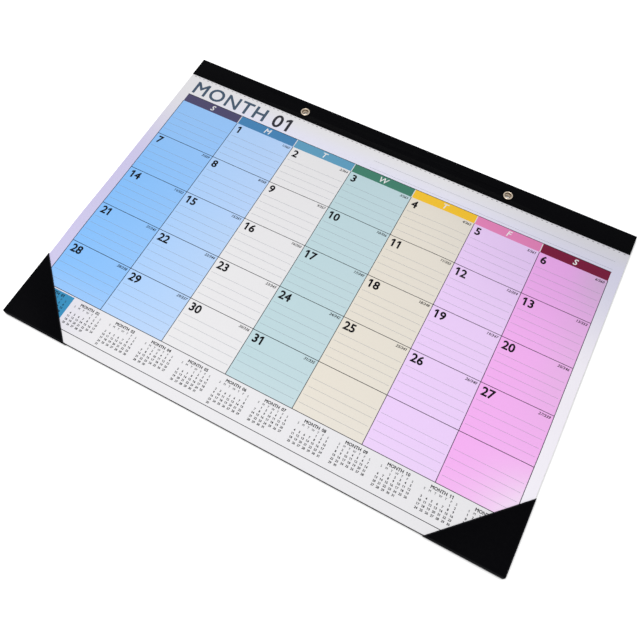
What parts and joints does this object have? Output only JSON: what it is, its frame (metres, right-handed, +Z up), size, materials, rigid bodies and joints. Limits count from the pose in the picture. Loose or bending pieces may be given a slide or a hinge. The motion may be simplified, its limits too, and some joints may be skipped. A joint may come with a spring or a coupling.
{
  "type": "desk pad calendar",
  "caption": "Flat desk pad calendar: month sheets bound at the head under a folded band on a stiff board, with corner pockets and hanging eyelets. Each sheet turns over the head.",
  "frame": {"origin": "middle of the back, on the surface that the pad lies on", "axes": "+X along the head, to the right as the pad is read; +Y towards the head band; +Z up, out of the printed face"},
  "size_m": [0.432, 0.305, 0.006],
  "materials": {
    "sheet_paper": "uncoated white paper with a printed month grid in pastel columns",
    "board": "greyboard with a black face, matt",
    "leatherette": "black leatherette, fine grain, satin",
    "eyelet_brass": "pale brass, polished"
  },
  "bodies": {
    "pad": {"backing_board": "board", "head_band": "leatherette", "eyelet_left": "eyelet_brass", "eyelet_right": "eyelet_brass", "corner_pocket_left": "leatherette", "corner_pocket_right": "leatherette", "stub_january": "sheet_paper", "stub_february": "sheet_paper", "stub_march": "sheet_paper", "stub_april": "sheet_paper", "stub_may": "sheet_paper", "stub_june": "sheet_paper", "stub_july": "sheet_paper", "stub_august": "sheet_paper", "stub_september": "sheet_paper", "stub_october": "sheet_paper", "stub_november": "sheet_paper", "stub_december": "sheet_paper"},
    "january_page": {"sheet_january": "sheet_paper"},
    "february_page": {"sheet_february": "sheet_paper"},
    "march_page": {"sheet_march": "sheet_paper"},
    "april_page": {"sheet_april": "sheet_paper"},
    "may_page": {"sheet_may": "sheet_paper"},
    "june_page": {"sheet_june": "sheet_paper"},
    "july_page": {"sheet_july": "sheet_paper"},
    "august_page": {"sheet_august": "sheet_paper"},
    "september_page": {"sheet_september": "sheet_paper"},
    "october_page": {"sheet_october": "sheet_paper"},
    "november_page": {"sheet_november": "sheet_paper"},
    "december_page": {"sheet_december": "sheet_paper"}
  },
  "joints": [
    {"name": "turn_january", "type": "hinge", "parent": "pad", "child": "january_page", "pos_m": [0, 0.13, 0.00545], "axis": [-1, 0, 0], "range_deg": [0, 179], "deforming": ["sheet_january"]},
    {"name": "turn_february", "type": "hinge", "parent": "pad", "child": "february_page", "pos_m": [0, 0.13, 0.00545], "axis": [-1, 0, 0], "range_deg": [0, 179], "deforming": ["sheet_february"]},
    {"name": "turn_march", "type": "hinge", "parent": "pad", "child": "march_page", "pos_m": [0, 0.13, 0.00545], "axis": [-1, 0, 0], "range_deg": [0, 179], "deforming": ["sheet_march"]},
    {"name": "turn_april", "type": "hinge", "parent": "pad", "child": "april_page", "pos_m": [0, 0.13, 0.00545], "axis": [-1, 0, 0], "range_deg": [0, 179], "deforming": ["sheet_april"]},
    {"name": "turn_may", "type": "hinge", "parent": "pad", "child": "may_page", "pos_m": [0, 0.13, 0.00545], "axis": [-1, 0, 0], "range_deg": [0, 179], "deforming": ["sheet_may"]},
    {"name": "turn_june", "type": "hinge", "parent": "pad", "child": "june_page", "pos_m": [0, 0.13, 0.00545], "axis": [-1, 0, 0], "range_deg": [0, 179], "deforming": ["sheet_june"]},
    {"name": "turn_july", "type": "hinge", "parent": "pad", "child": "july_page", "pos_m": [0, 0.13, 0.00545], "axis": [-1, 0, 0], "range_deg": [0, 179], "deforming": ["sheet_july"]},
    {"name": "turn_august", "type": "hinge", "parent": "pad", "child": "august_page", "pos_m": [0, 0.13, 0.00545], "axis": [-1, 0, 0], "range_deg": [0, 179], "deforming": ["sheet_august"]},
    {"name": "turn_september", "type": "hinge", "parent": "pad", "child": "september_page", "pos_m": [0, 0.13, 0.00545], "axis": [-1, 0, 0], "range_deg": [0, 179], "deforming": ["sheet_september"]},
    {"name": "turn_october", "type": "hinge", "parent": "pad", "child": "october_page", "pos_m": [0, 0.13, 0.00545], "axis": [-1, 0, 0], "range_deg": [0, 179], "deforming": ["sheet_october"]},
    {"name": "turn_november", "type": "hinge", "parent": "pad", "child": "november_page", "pos_m": [0, 0.13, 0.00545], "axis": [-1, 0, 0], "range_deg": [0, 179], "deforming": ["sheet_november"]},
    {"name": "turn_december", "type": "hinge", "parent": "pad", "child": "december_page", "pos_m": [0, 0.13, 0.00545], "axis": [-1, 0, 0], "range_deg": [0, 179], "deforming": ["sheet_december"]}
  ]
}
